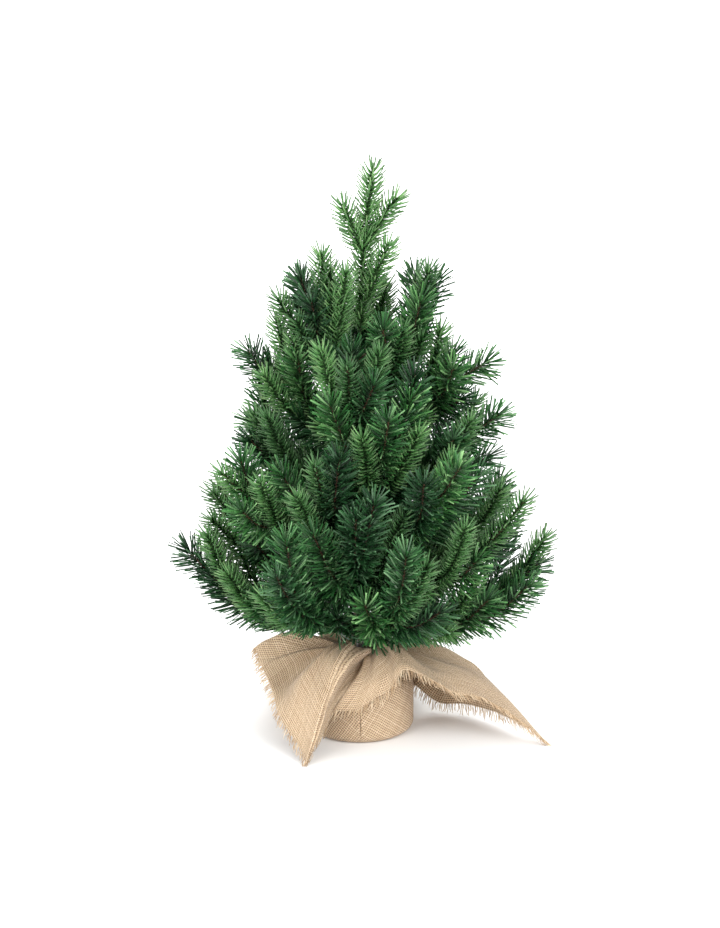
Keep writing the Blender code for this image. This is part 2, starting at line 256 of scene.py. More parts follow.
STRIP = {
    "length": 0.0240, "half_width": 0.00078, "half_thick": 0.00016, "per_metre": 2250,
    "lean": 55.0, "end_lean": 26.0, "spread": 8.0, "forward": 0.16, "sag": 0.05, "rows": 13 / 34,
    "taper": (0.85, 1.0, 0.95), "outline": ((1, 1), (-1, 1), (-1, -1), (1, -1)),
}
MOULDED = {
    "length": 0.0150, "half_width": 0.00105, "half_thick": 0.00092, "per_metre": 1950,
    "lean": 76.0, "end_lean": 42.0, "spread": 3.0, "forward": 0.52, "sag": 0.0, "rows": 3 / 8,
    "taper": (1.0, 0.95, 0.72), "outline": ((1, 0), (-0.5, 0.87), (-0.5, -0.87)),
}
END_ZONE = 0.012  # of a sprig, where needles turn forward to close its tip
END_SHORTENING = 0.22
ROW_TWIST = 18.0  # radians that a sprig's rows turn in each metre
ROW_SCATTER = 0.09  # radians
BEND_SCATTER = 0.035
CLOTH_TOPS = (  # up to an x: the height that needle tips keep above, and how it rises to the front
    (-0.020, 0.109, 0.22), (0.010, 0.104, 0.12),
)
CLOTH_TOP_RIGHT = 0.096
BEND_SHARES = np.array([0.0, 0.5, 1.0])
CURVE_STEPS = 400


def unit(vectors):
    """Each row at length one."""
    return vectors / np.linalg.norm(vectors, axis=-1, keepdims=True)


def catmull_rom(rows, share, closed=False):
    """Values between the given rows on a Catmull-Rom curve, at each share counted in rows."""
    count = len(rows)
    if closed:
        padded = np.concatenate([rows[-1:], rows, rows[:2]])
        left = share.astype(int)
    else:
        padded = np.concatenate([2 * rows[:1] - rows[1:2], rows, 2 * rows[-1:] - rows[-2:-1]])
        left = np.minimum(share.astype(int), count - 2)
    t = (share - left).reshape((-1,) + (1,) * (rows.ndim - 1))
    a, b, c, d = (padded[left + k] for k in range(4))
    bend = (2 * a - 5 * b + 4 * c - d) * t**2 + (3 * b - a - 3 * c + d) * t**3
    return 0.5 * (2 * b + (c - a) * t + bend)


def path_lengths(grid):
    """The distance walked along each column of a grid, from its first row."""
    steps = np.linalg.norm(np.diff(grid, axis=0), axis=-1)
    return np.concatenate([np.zeros_like(steps[:1]), np.cumsum(steps, axis=0)])


def interpolated(distances, run, rows):
    """Rows of three values at the given distances, from rows whose own distances are known."""
    return np.column_stack([np.interp(distances, run, rows[:, k]) for k in range(3)])


def smooth_path(knots, count=64):
    """Evenly spaced points on a Catmull-Rom curve through the knots, with their distances."""
    knots = np.asarray(knots, float)
    curve = catmull_rom(knots, np.linspace(0.0, len(knots) - 1, CURVE_STEPS))
    run = path_lengths(curve)
    even = np.linspace(0.0, run[-1], count)
    return interpolated(even, run, curve), even


def along(path, run, distances):
    """Places and directions on a path at the given distances."""
    directions = unit(np.gradient(path, axis=0))
    return interpolated(distances, run, path), unit(interpolated(distances, run, directions))


def across(directions):
    """Two unit vectors square to each direction, the first of them level."""
    level = np.column_stack([-directions[:, 1], directions[:, 0], np.zeros(len(directions))])
    upright = np.linalg.norm(level, axis=1, keepdims=True) < 1e-4
    level = unit(np.where(upright, [[0.0, 1.0, 0.0]], level))
    return level, np.cross(directions, level)


def clear_of_cloth(tips):
    """Whether each tip stands above the cloth at the neck, which is higher to the left and in front."""
    top = np.full(len(tips), CLOTH_TOP_RIGHT)
    for edge, height, slope in reversed(CLOTH_TOPS):
        top = np.where(tips[:, 0] < edge, height - slope * np.minimum(tips[:, 1], 0.0), top)
    return tips[:, 2] > top


def needles(kind, path, run, bare, tone):
    """Needles along a path beyond its bare stretch, each a three-ring prism with closed ends.

    Needle i starts on the path and is turned about it by i times the sort's share of a turn, so the
    needles stand in rows that twist slowly. It leans from the path's direction by the sort's lean,
    which closes up in the end zone, and bends forward with the square of its length. The tones are a
    random shade, the share of the needle's length and the sprig's own tone. Needles that would end
    in the cloth are left out.
    """
    length = run[-1]
    count = int((length - bare) * kind["per_metre"])
    place = bare + (length - bare) * (np.arange(count) + rng.uniform(0.3, 0.7, count)) / count
    start, forward = along(path, run, place)
    level, upward = across(forward)
    spin = 2 * pi * kind["rows"] * np.arange(count) + ROW_TWIST * place
    spin = spin + rng.normal(0.0, ROW_SCATTER, count)
    outward = np.cos(spin)[:, None] * level + np.sin(spin)[:, None] * upward
    closing = np.clip((place - length + END_ZONE) / END_ZONE, 0.0, 1.0)
    lean = kind["lean"] + (kind["end_lean"] - kind["lean"]) * closing**1.5
    lean = np.radians(lean + rng.normal(0.0, kind["spread"], count))[:, None]
    direction = np.cos(lean) * forward + np.sin(lean) * outward
    reach = kind["length"] * rng.uniform(0.90, 1.06, count) * (1.0 - END_SHORTENING * closing)
    bend = kind["forward"] * forward + rng.normal(0.0, BEND_SCATTER, (count, 3))
    bend[:, 2] -= kind["sag"]
    side, top = across(direction)
    turn = rng.uniform(0.0, 2 * pi, count)[:, None]
    wide = np.cos(turn) * side + np.sin(turn) * top
    thick = np.cross(direction, wide)
    share = BEND_SHARES[None, :, None]
    curve = direction[:, None] * share + bend[:, None] * share**2
    centres = start[:, None] + reach[:, None, None] * curve
    outline = np.array(kind["outline"], float)
    corner = (outline[:, 0, None] * kind["half_width"] * wide[:, None]
              + outline[:, 1, None] * kind["half_thick"] * thick[:, None])
    taper = np.array(kind["taper"])[None, :, None, None]
    points = centres[:, :, None] + taper * corner[:, None]
    tones = np.empty(points.shape[:3] + (4,))
    tones[..., 0] = rng.random(count)[:, None, None]
    tones[..., 1] = BEND_SHARES[None, :, None]
    tones[..., 2] = tone
    tones[..., 3] = 1.0
    clear = clear_of_cloth(centres[:, -1])
    return points[clear].reshape(-1, 3), tones[clear].reshape(-1, 4)


def prism_faces(count, rings, sides):
    """Faces of so many closed prisms: walls between successive rings, then the two ends."""
    ring = np.arange(sides)
    after = (ring + 1) % sides
    wall = np.concatenate([np.column_stack([ring, after, after + sides, ring + sides]) + k * sides
                           for k in range(rings - 1)])
    ends = np.array([ring[::-1], ring + (rings - 1) * sides])
    first = np.arange(count)[:, None, None] * rings * sides
    return [(wall[None] + first).reshape(-1, 4), (ends[None] + first).reshape(-1, sides)]


def set_tone(piece, tones):
    """Store the tone of each point as a colour attribute."""
    layer = piece.data.color_attributes.new("tone", "FLOAT_COLOR", "POINT")
    layer.data.foreach_set("color", np.asarray(tones, np.float32).ravel())


def place_piece(piece, finish, body, replaced):
    """Give a piece its material and its body, and hide the CAD nodes that it stands for, if any."""
    piece.data.materials.append(finish)
    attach(piece, body)
    if replaced:
        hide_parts(*replaced)


def needle_piece(name, kind, grown, finish, body, replaced=()):
    """One piece from the needles of several sprigs of one sort, riding on a branch's body."""
    points = np.concatenate([points for points, _ in grown])
    sides = len(kind["outline"])
    count = len(points) // (len(BEND_SHARES) * sides)
    piece = mesh_piece(name, points, prism_faces(count, len(BEND_SHARES), sides), smooth=sides == 3)
    set_tone(piece, np.concatenate([tones for _, tones in grown]))
    place_piece(piece, finish, body, replaced)


def rods(paths, radii, sides):
    """Closed tubes along paths of equally many points, each with its own radius at every point."""
    paths = np.asarray(paths, float)
    count, rings = paths.shape[:2]
    directions = unit(np.gradient(paths, axis=1)).reshape(-1, 3)
    level, upward = (axis.reshape(count, rings, 1, 3) for axis in across(directions))
    angle = 2 * pi * np.arange(sides)[None, None, :, None] / sides
    radii = np.broadcast_to(radii, (count, rings))[:, :, None, None]
    points = paths[:, :, None] + radii * (np.cos(angle) * level + np.sin(angle) * upward)
    return points.reshape(-1, 3), prism_faces(count, rings, sides)


def centreline(node, sides=6):
    """A CAD wire's centreline: the middle of each of its rings, outwards from the trunk."""
    corners = np.array([vertex.co for vertex in frame["nodes"][node].data.vertices])
    corners = np.unique(corners.round(6), axis=0)
    hinge = next(joint for joint in frame["joints"] if node.startswith(joint["child"]))["pos_m"]
    order = np.argsort(np.linalg.norm(corners - np.array(hinge), axis=1))
    return corners[order].reshape(-1, sides, 3).mean(axis=1)


# --- Needle materials ------------------------------------------------------------------------------
# Strips are dyed PVC film, shiny on its flat faces, in two greens that are mixed in one brush,
# with painted shade at their roots and painted light towards their tips. Moulded needles are
# softer-looking polyethylene, with painted shade at the stem, paler along their length and
# duller at the tip.


def tone_parts(nodes, links):
    """The needle's random shade, share of length and sprig tone, as three sockets."""
    tone = nodes.new("ShaderNodeAttribute")
    tone.attribute_name = "tone"
    split = nodes.new("ShaderNodeSeparateColor")
    links.new(tone.outputs["Color"], split.inputs["Color"])
    return split.outputs["Red"], split.outputs["Green"], split.outputs["Blue"]


def needle_material(name, shades, root, sprig, roughness):
    """Needle plastic: a shade per needle, with painted shade darkening it at its root, scaled by its
    sprig's tone.
    """
    made, nodes, links, shader = plain_material(name, (0.03, 0.08, 0.03), roughness)
    shade, share, own = tone_parts(nodes, links)
    color = ramp(nodes, links, shade, shades)
    # painted shade of the brush's inside: each needle darkens towards its root
    color = mixed(nodes, links, "MULTIPLY", 1.0, color, ramp(nodes, links, share, root))
    color = mixed(nodes, links, "MULTIPLY", 1.0, color, ramp(nodes, links, own, sprig))
    links.new(color, shader.inputs["Base Color"])
    shader.inputs["Specular IOR Level"].default_value = 0.42
    return made


strip_green = needle_material(
    "strip_green",
    ((0.0, (0.008, 0.040, 0.010)), (0.4, (0.018, 0.084, 0.022)), (0.75, (0.048, 0.155, 0.046)),
     (1.0, (0.170, 0.330, 0.150))),
    # along each strip: painted shade at the root and painted light at the tip
    ((0.0, (0.22, 0.22, 0.22)), (0.45, (0.8, 0.8, 0.8)), (1.0, (1.3, 1.25, 1.25))),
    ((0.0, (0.42, 0.48, 0.56)), (0.5, (0.9, 0.95, 1.0)), (1.0, (1.5, 1.45, 1.3))),
    0.34,
)
moulded_green = needle_material(
    "moulded_green",
    ((0.0, (0.048, 0.145, 0.044)), (0.6, (0.084, 0.220, 0.074)), (1.0, (0.155, 0.330, 0.125))),
    # along each needle: painted shade at the root, then paler, and duller at the tip as the needles are
    ((0.0, (0.45, 0.45, 0.42)), (0.35, (1.15, 1.15, 1.05)), (0.7, (1.05, 1.02, 0.98)),
     (1.0, (0.95, 0.72, 0.82))),
    ((0.0, (0.6, 0.65, 0.65)), (1.0, (1.3, 1.25, 1.2))),
    0.42,
)
wire_brown = cast_material("wire_brown", (0.070, 0.028, 0.017), (0.140, 0.060, 0.034), 0.5, 400.0,
                           0.0001)
stem_green = cast_material("stem_green", (0.055, 0.130, 0.042), (0.090, 0.190, 0.068), 0.45, 300.0,
                           0.0001)


# --- Branches --------------------------------------------------------------------------------------
# Each branch is a stem of twisted wire pairs that fork into sprigs, held by its root in the binding.
# Strip sprigs grow on the brown pair itself; moulded sprigs have a green stem pushed over its end.

TWIST_PITCH = 0.0075
TWIST_STEPS = 6  # points in each turn
STRAND_RADIUS = 0.00058
STEM_RADII = (0.0011, 0.0005)  # at a moulded stem's foot and tip
SIDE_SPRIGS = (  # leaving at a share of the branch; degrees aside; share of its length; rise
    (0.30, 42.0, 0.50, 0.15), (0.43, -40.0, 0.48, 0.10), (0.60, 34.0, 0.36, 0.05),
)
INNER_SPRIGS = ((0.13, -62.0, 0.36, 0.20), (0.11, 66.0, 0.32, 0.15), (0.22, 50.0, 0.34, -0.10))
RISING_SPRIGS = ((0.06, -24.0, 0.44, 0.75), (0.12, 30.0, 0.50, 0.55), (0.20, -8.0, 0.46, 0.60))
BENT_SPRIGS = {  # by branch: the sort, the share of the branch where it leaves, its tip in mm
    1: (("moulded", 0.22, (188, -24, 213)), ("strips", 0.24, (172, -50, 172)),
        ("strips", 0.16, (130, -58, 158)), ("moulded", 0.10, (118, -64, 186)),
        ("strips", 0.55, (150, 24, 200))),
    4: (("moulded", 0.14, (-133, -62, 187)), ("moulded", 0.28, (-154, -46, 222)),
        ("strips", 0.42, (-150, 22, 196)), ("strips", 0.20, (-104, -60, 158)),
        ("strips", 0.26, (-150, -32, 175)), ("moulded", 0.10, (-122, -10, 190)),
        ("strips", 0.14, (-86, -34, 182))),
    5: (("strips", 0.38, (-72, -134, 246)), ("strips", 0.10, (-24, -78, 146)),
        ("moulded", 0.30, (-98, -96, 176)), ("strips", 0.16, (-62, -86, 206))),
    6: (("strips", 0.08, (14, -62, 126)), ("moulded", 0.40, (66, -116, 214)),
        ("strips", 0.30, (82, -98, 160)), ("strips", 0.20, (4, -104, 170))),
    7: (("moulded", 0.16, (143, -22, 264)), ("strips", 0.40, (146, 56, 250)),
        ("moulded", 0.12, (112, 14, 272))),
    9: (("moulded", 0.25, (-150, 4, 252)), ("moulded", 0.15, (-150, -22, 232)),
        ("strips", 0.40, (-118, 62, 252)), ("strips", 0.25, (-108, -30, 210))),
    10: (("strips", 0.12, (-46, -122, 248)), ("strips", 0.45, (14, -126, 282)),
         ("moulded", 0.14, (44, -104, 262)), ("moulded", 0.20, (-30, -108, 236))),
    11: (("moulded", 0.16, (104, -112, 252)), ("strips", 0.52, (146, -60, 236)),
         ("strips", 0.30, (116, -82, 208))),
    14: (("strips", 0.58, (-118, -62, 306)), ("moulded", 0.12, (-98, -94, 292)),
         ("strips", 0.40, (-118, -88, 262)), ("moulded", 0.22, (-88, -36, 286))),
    15: (("moulded", 0.12, (-62, -112, 282)), ("strips", 0.40, (-20, -110, 322)),
         ("strips", 0.28, (-78, -84, 300))),
    16: (("strips", 0.36, (62, -124, 300)), ("moulded", 0.12, (92, -84, 316)),
         ("strips", 0.50, (116, -84, 296))),
    17: (("strips", 0.30, (131, 10, 290)), ("moulded", 0.18, (110, -62, 346)),
         ("strips", 0.35, (92, -70, 330)), ("moulded", 0.25, (118, 8, 350))),
    19: (("moulded", 0.22, (-106, -24, 342)), ("strips", 0.56, (-100, 14, 358)),
         ("strips", 0.45, (-110, -24, 316)), ("moulded", 0.12, (-92, -46, 346))),
    20: (("strips", 0.15, (-30, -78, 368)), ("strips", 0.20, (54, -70, 396)),
         ("strips", 0.48, (52, -74, 376)), ("moulded", 0.14, (58, -84, 340)),
         ("moulded", 0.14, (2, -96, 338))),
    21: (("moulded", 0.12, (80, -24, 430)), ("strips", 0.36, (92, -22, 406)),
         ("strips", 0.42, (92, -46, 396)), ("moulded", 0.28, (88, 28, 396)),
         ("strips", 0.40, (102, -24, 360))),
    22: (("strips", 0.60, (-112, 4, 402)), ("strips", 0.28, (-62, -30, 402)),
         ("moulded", 0.18, (-82, -14, 436)), ("moulded", 0.14, (-96, -20, 382)),
         ("moulded", 0.16, (-66, -30, 420))),
    23: (("strips", 0.40, (14, -86, 390)), ("strips", 0.10, (-8, -52, 416)),
         ("moulded", 0.12, (-38, -70, 420)), ("moulded", 0.20, (20, -74, 420))),
    24: (("moulded", 0.22, (68, -20, 490)), ("strips", 0.20, (22, -60, 440)),
         ("strips", 0.50, (56, 20, 476)), ("moulded", 0.10, (42, -50, 436)),
         ("moulded", 0.08, (62, -34, 424)), ("strips", 0.24, (60, -34, 462))),
    25: (("strips", 0.30, (30, 44, 430)), ("moulded", 0.40, (-14, 56, 450)),
         ("strips", 0.12, (-22, 42, 446)), ("moulded", 0.10, (26, 38, 462)),
         ("strips", 0.10, (4, 48, 418))),
    26: (("moulded", 0.14, (-38, -18, 505)), ("moulded", 0.06, (-29, -22, 490)),
         ("moulded", 0.30, (-80, -20, 460)), ("moulded", 0.08, (-14, -36, 490)),
         ("strips", 0.30, (-48, -34, 462)), ("moulded", 0.10, (-28, -30, 468)),
         ("moulded", 0.14, (-62, -30, 440)), ("strips", 0.45, (-60, 20, 470))),
}
REACH = {  # the share of its CAD wire's length that a branch is grown to
    4: 0.98, 7: 0.87, 9: 0.94, 14: 0.93, 19: 0.80, 22: 0.92, 24: 0.88, 26: 0.92,
}
TIP_RISE = {  # the height of a branch's tip over its CAD wire's, in metres
    1: -0.010, 11: 0.016, 17: -0.012, 21: -0.008, 22: -0.014,
}
MOULDED_MAINS = (9, 11, 14, 15, 23)
SORTS = {"strips": (STRIP, strip_green), "moulded": (MOULDED, moulded_green)}
MAIN_BARE = 0.030
SPRIG_BARE = 0.008
SPRIG_FORWARD = 0.12  # of a bent sprig's length, from its chord's middle
SPRIG_SAG = np.array([0.0, 0.0, 0.13])
SIDE_FORWARD = 0.30  # how the outer half of a side sprig turns back to its branch's direction
SIDE_RISE = np.array([0.0, 0.0, 0.22])


def joined(parts):
    """Several (points, faces) meshes as one."""
    starts = np.cumsum([0] + [len(points) for points, _ in parts[:-1]])
    faces = [group + start for start, (_, groups) in zip(starts, parts) for group in groups]
    return np.concatenate([points for points, _ in parts]), faces


def twisted_pair(path, run):
    """Two thin strands wound round a path, opposite each other, one turn to each pitch."""
    distances = np.linspace(0.0, run[-1], int(run[-1] / TWIST_PITCH * TWIST_STEPS) + 2)
    middle, forward = along(path, run, distances)
    level, upward = across(forward)
    angle = (2 * pi * distances / TWIST_PITCH)[:, None]
    offset = STRAND_RADIUS * (np.cos(angle) * level + np.sin(angle) * upward)
    return rods([middle + offset, middle - offset], STRAND_RADIUS, 5)


def moulded_stem(path, run):
    """A round stem along a path, thinning to its tip."""
    middle, _ = along(path, run, np.linspace(0.0, run[-1], 16))
    return rods([middle], np.linspace(*STEM_RADII, 16), 6)


def side_path(path, run, share, aside, reach, rise):
    """A sprig leaving a path at a share of its length, turned aside, its end curving upwards."""
    start, forward = along(path, run, np.array([share * run[-1]]))
    level, upward = across(forward)
    angle = radians(aside)
    leaving = np.cos(angle) * forward + np.sin(angle) * level + rise * upward
    leaving = unit(leaving)[0]
    bending = unit(leaving + SIDE_FORWARD * forward[0] + SIDE_RISE)
    length = reach * run[-1]
    knots = start[0] + np.outer([0.0, 0.5 * length], leaving)
    return smooth_path(np.vstack([knots, knots[1] + 0.5 * length * bending]), 32)


def bent_path(path, run, share, tip):
    """A sprig from a share of a path to a tip, setting out along the path and then bending up."""
    start, forward = along(path, run, np.array([share * run[-1]]))
    tip = np.array(tip) / 1000
    length = np.linalg.norm(tip - start[0])
    middle = 0.5 * (start[0] + tip) + length * (SPRIG_FORWARD * forward[0] - SPRIG_SAG)
    return smooth_path([start[0], middle, tip], 32)


def stem_piece(name, parts, finish, body, replaced=()):
    """One piece from several stems, riding on a branch's body."""
    place_piece(mesh_piece(name, *joined(parts)), finish, body, replaced)


def grow_branch(number):
    """The twisted stems, moulded stems and needles of one branch, from its CAD centreline."""
    body = f"branch_{number:02d}"
    path, run = smooth_path(centreline(f"{body}_wire"))
    kept = int(len(run) * REACH.get(number, 1.0))
    path[:, 2] += TIP_RISE.get(number, 0.0) * (run / run[-1])**2
    trunk_path = path[:kept], run[:kept]
    main_kind = MOULDED if number in MOULDED_MAINS else STRIP
    sprigs = [(main_kind, *trunk_path, MAIN_BARE)]
    bent = BENT_SPRIGS.get(number, ())
    for sort, share, tip in bent:
        sprigs.append((SORTS[sort][0], *bent_path(*trunk_path, share, tip), SPRIG_BARE))
    for index, shape in enumerate(INNER_SPRIGS if bent else SIDE_SPRIGS + INNER_SPRIGS + RISING_SPRIGS):
        mirrored = (shape[0], shape[1] * (-1) ** number, *shape[2:])
        kind = (STRIP, MOULDED)[(number + index) % 2]
        sprigs.append((kind, *side_path(*trunk_path, *mirrored), SPRIG_BARE))
    grown = {"strips": [], "moulded": []}
    pairs = [twisted_pair(*trunk_path)]
    stems = []
    for kind, path, run, bare in sprigs:
        tone = rng.random()
        part = needles(kind, path, run, bare, tone)
        if kind is STRIP:
            grown["strips"].append(part)
            if path is not trunk_path[0]:
                pairs.append(twisted_pair(path, run))
        else:
            grown["moulded"].append(part)
            stems.append(moulded_stem(path, run))
    main, other = ("strips", "moulded") if main_kind is STRIP else ("moulded", "strips")
    for sort, replaced in ((main, (f"{body}_needles",)), (other, ())):
        kind, finish = SORTS[sort]
        if grown[sort]:
            needle_piece(f"{body}_{sort}", kind, grown[sort], finish, body, replaced)
    stem_piece(f"{body}_twist", pairs, wire_brown, body, (f"{body}_wire",))
    if stems:
        stem_piece(f"{body}_stems", stems, stem_green, body)


for number in range(1, 27):
    grow_branch(number)


# --- Leader ----------------------------------------------------------------------------------------
# The upright top sprig: a moulded main stem with three shorter moulded tips forking from it.

LEADER_LEAN = np.array([0.0045, 0.0, -0.003])  # of its tip, from the CAD wire's
LEADER_TIPS = (
    ((0.002, 0.000, 0.502), (-0.007, -0.002, 0.527), (-0.017, -0.003, 0.552)),
    ((0.004, 0.000, 0.508), (0.019, 0.004, 0.534), (0.036, 0.006, 0.557)),
    ((0.006, -0.002, 0.452), (0.016, -0.008, 0.484), (0.028, -0.012, 0.513)),
)
LEADER_BARE = (0.022, 0.004, 0.004, 0.004)  # the main stem's, then its tips'
LEADER_TONE = 0.85

leader_wire = centreline("leader_wire")
rise = np.linspace(0.0, 1.0, len(leader_wire))[:, None]
leader_main = smooth_path(leader_wire + rise**2 * LEADER_LEAN)
leader_paths = [leader_main] + [smooth_path(knots, 32) for knots in LEADER_TIPS]
leader_needles = [
    needles(MOULDED, path, run, bare, LEADER_TONE) for (path, run), bare in zip(leader_paths, LEADER_BARE)
]
needle_piece("leader_moulded", MOULDED, leader_needles, moulded_green, "leader", ("leader_needles",))
stem_piece("leader_stems", [moulded_stem(*path) for path in leader_paths], stem_green, "leader",
           ("leader_wire",))


# --- Burlap wrap -----------------------------------------------------------------------------------
# One square of plain-woven jute. The drum stands on its middle; it is pulled up round the drum,
# gathered by twine at the neck and spread into a skirt whose four corners hang to the floor.

CLOTH_THICK = 0.0008
CLOTH_RADIUS = 0.0556  # round the drum
STEPS = 12  # columns between two ribs of the skirt
DRUM_ROWS = 54
SKIRT_ROWS = 40
HEM_ROWS = 8
PLEATS = 29
CREASE_HEADING = 270.5  # degrees; an upright fold in the drum's front
CREASE_DEPTH = 0.0042
CREASE_WIDTHS = (5.0, 0.9)  # of its bulge and of the groove along its middle, in mm
CREASE_ROWS = 34
SKIRT_NARROWING = 0.35  # of the square, from its edge in to the neck
DRUM_WEAVE = np.array([(0.82, 0.57), (-0.57, 0.82)])  # the weave stands askew on the drum

DRUM_RIB = (  # radius and height of the cloth's middle, from under the drum to the neck, in mm
    (1.0, 0.4), (25.0, 0.4), (47.0, 0.4), (50.5, 1.1), (53.4, 3.0), (55.1, 5.8), (55.6, 9.0),
    (55.6, 20.0), (55.6, 33.0), (55.6, 44.0), (54.7, 49.8), (52.0, 55.0), (47.0, 59.2),
    (38.0, 61.8), (27.0, 64.2), (17.0, 67.2), (13.0, 70.0), (12.6, 77.0),
)
SKIRT = (  # each rib's heading at the neck, then its five points outwards to the frayed edge, in mm
    (6, ((40, 4, 91), (78, 4, 76), (112, 14, 66), (134, 10, 44), (140, 0, 15))),
    (16, ((40, 8, 92), (70, 17, 88), (98, 25, 72), (110, 30, 42), (110, 26, 13))),
    (28, ((38, 13, 91), (62, 24, 86), (80, 31, 68), (86, 35, 40), (82, 35, 12))),
    (41, ((34, 18, 90), (50, 29, 80), (60, 35, 64), (63, 37, 48), (58, 36, 32))),
    (56, ((27, 26, 88), (38, 42, 76), (46, 56, 56), (52, 66, 40), (58, 74, 24))),
    (72, ((16, 34, 92), (28, 60, 80), (38, 88, 52), (46, 114, 24), (52, 138, 3))),
    (86, ((4, 34, 88), (12, 58, 72), (18, 82, 50), (24, 100, 32), (30, 116, 18))),
    (100, ((-6, 32, 90), (-8, 50, 80), (-10, 64, 64), (-12, 74, 46), (-13, 82, 30))),
    (115, ((-18, 32, 89), (-28, 54, 74), (-40, 76, 50), (-50, 92, 30), (-60, 106, 14))),
    (130, ((-26, 30, 92), (-44, 54, 80), (-62, 76, 52), (-78, 95, 24), (-92, 112, 3))),
    (145, ((-32, 22, 88), (-52, 38, 76), (-68, 52, 58), (-80, 62, 42), (-90, 70, 28))),
    (156, ((-34, 14, 88), (-56, 24, 84), (-74, 32, 74), (-90, 40, 62), (-100, 46, 50))),
    (166, ((-35, 10, 94), (-60, 18, 98), (-82, 24, 93), (-97, 28, 84), (-110, 30, 75))),
    (180, ((-34, 2, 86), (-56, 5, 83), (-76, 8, 76), (-92, 10, 70), (-104, 12, 64))),
    (198, ((-31, -7, 86), (-49, -8, 70), (-66, -12, 58), (-80, -20, 52), (-91, -26, 48))),
    (216, ((-21, -19, 98), (-39, -35, 95), (-57, -48, 77), (-70, -59, 51), (-80, -66, 31))),
    (228, ((-14, -26, 102), (-32, -46, 95), (-46, -63, 70), (-56, -78, 39), (-63, -91, 15))),
    (238, ((-8, -31, 104), (-23, -55, 92), (-35, -76, 65), (-46, -94, 33), (-55, -111, 4))),
    (245, ((0, -34, 103), (-16, -58, 91), (-31, -77, 64), (-42, -94, 34), (-53, -109, 5))),
    (251, ((9, -35, 99), (-11, -56, 90), (-29, -75, 63), (-40, -92, 34), (-51, -107, 6))),
    (256, ((13, -33, 92), (-10, -50, 85), (-29, -70, 60), (-40, -87, 33), (-50, -102, 8))),
    (261, ((8, -27, 84), (-8, -42, 76), (-25, -60, 57), (-36, -74, 34), (-46, -90, 13))),
    (267, ((2, -24, 79), (-4, -38, 71), (-16, -56, 60), (-26, -63, 44), (-34, -69, 27))),
    (275, ((4, -24, 86), (1, -39, 79), (-8, -53, 66), (-18, -60, 52), (-26, -64, 40))),
    (283, ((10, -25, 92), (9, -40, 83), (5, -52, 70), (0, -59, 55), (-4, -64, 41))),
    (291, ((15, -23, 94), (16, -37, 87), (17, -49, 76), (17, -56, 65), (17, -60, 54))),
    (299, ((19, -21, 95), (24, -34, 90), (27, -45, 80), (29, -52, 70), (30, -56, 60))),
    (306, ((22, -19, 96), (30, -31, 93), (34, -41, 86), (36, -48, 79), (37, -52, 72))),
    (313, ((24, -18, 97), (35, -30, 96), (41, -38, 91), (44, -45, 86), (46, -50, 80))),
    (321, ((28, -15, 97), (44, -28, 96), (54, -38, 88), (61, -46, 80), (67, -52, 73))),
    (329, ((32, -12, 94), (54, -24, 85), (70, -36, 75), (82, -46, 67), (93, -54, 58))),
    (337, ((35, -8, 91), (64, -18, 79), (88, -30, 70), (108, -43, 61), (125, -54, 50))),
    (344, ((37, -5, 92), (72, -10, 79), (104, -20, 70), (130, -37, 54), (152, -52, 34))),
    (351, ((38, -3, 92), (78, -5, 77), (118, -11, 64), (155, -32, 38), (193, -56, 3))),
    (358, ((39, 0, 90), (80, -4, 70), (120, 2, 60), (148, -14, 38), (168, -34, 14))),
)
NECK_RIBS = ((12.6, 77.0), (16.5, 85.0))  # radius and height of every rib's first two points
CORNERS = (5, 9, 17, 33)  # the ribs that end at a corner of the square


def surface_normals(grid):
    """The unit normal at each point of a grid whose rows close on themselves."""
    outward = np.gradient(grid, axis=0)
    around = np.roll(grid, -1, axis=1) - np.roll(grid, 1, axis=1)
    normal = np.cross(around, outward)
    return normal / np.maximum(np.linalg.norm(normal, axis=2, keepdims=True), 1e-9)


columns = len(SKIRT) * STEPS
column = np.arange(columns + 1) / STEPS
turns = np.array([turn for turn, _ in SKIRT] + [SKIRT[0][0] + 360.0])
heading = np.radians(np.interp(column, np.arange(len(turns)), turns))
aim = np.stack([np.cos(heading), np.sin(heading)], axis=1)[:-1]


def ringed(profile):
    """A ring of points round the drum's axis for each radius and height."""
    flat = profile[:, None, :1] * aim
    return np.concatenate([flat, np.broadcast_to(profile[:, None, 1:], (*flat.shape[:2], 1))], axis=2)


drum_profile = catmull_rom(np.array(DRUM_RIB), np.linspace(0, len(DRUM_RIB) - 1, DRUM_ROWS)) / 1000
drum_grid = ringed(drum_profile)
far_ribs = np.array([points for _, points in SKIRT], float) / 1000
ribs_across = catmull_rom(far_ribs, column[:-1], closed=True).transpose(1, 0, 2)
ribs_across = np.concatenate([ringed(np.array(NECK_RIBS) / 1000), ribs_across])
skirt_grid = catmull_rom(ribs_across, np.linspace(0, len(ribs_across) - 1, SKIRT_ROWS))
cloth_grid = np.concatenate([drum_grid, skirt_grid[1:]])

# Gathers: deep pleats on the drum's shoulder and over the neck, dying out along the skirt.
neck_row = DRUM_ROWS - 1
pleat_rows = [0, 31, 40, 48, neck_row - 3, neck_row, neck_row + 4, neck_row + 12, neck_row + 27]
pleat_depths = [0, 0, 0.0040, 0.0080, 0.0030, 0.0006, 0.0036, 0.0048, 0.0]
depth = np.interp(np.arange(len(cloth_grid)), pleat_rows, pleat_depths)[:, None]
wander = 0.9 * np.sin(3 * heading[:-1] + 1.0) + 0.6 * np.sin(8 * heading[:-1])
pleat = np.abs(np.cos(0.5 * PLEATS * heading[:-1] + wander))
rumple = np.interp(np.arange(len(cloth_grid)), [neck_row + 4, neck_row + 20], [0, 0.0011])[:, None]
ripple = np.sin(np.arange(len(cloth_grid))[:, None] * 0.33 + column[:-1] * 1.9)
ripple = rumple * ripple * np.sin(column[:-1] * 2.7 - np.arange(len(cloth_grid))[:, None] * 0.17)
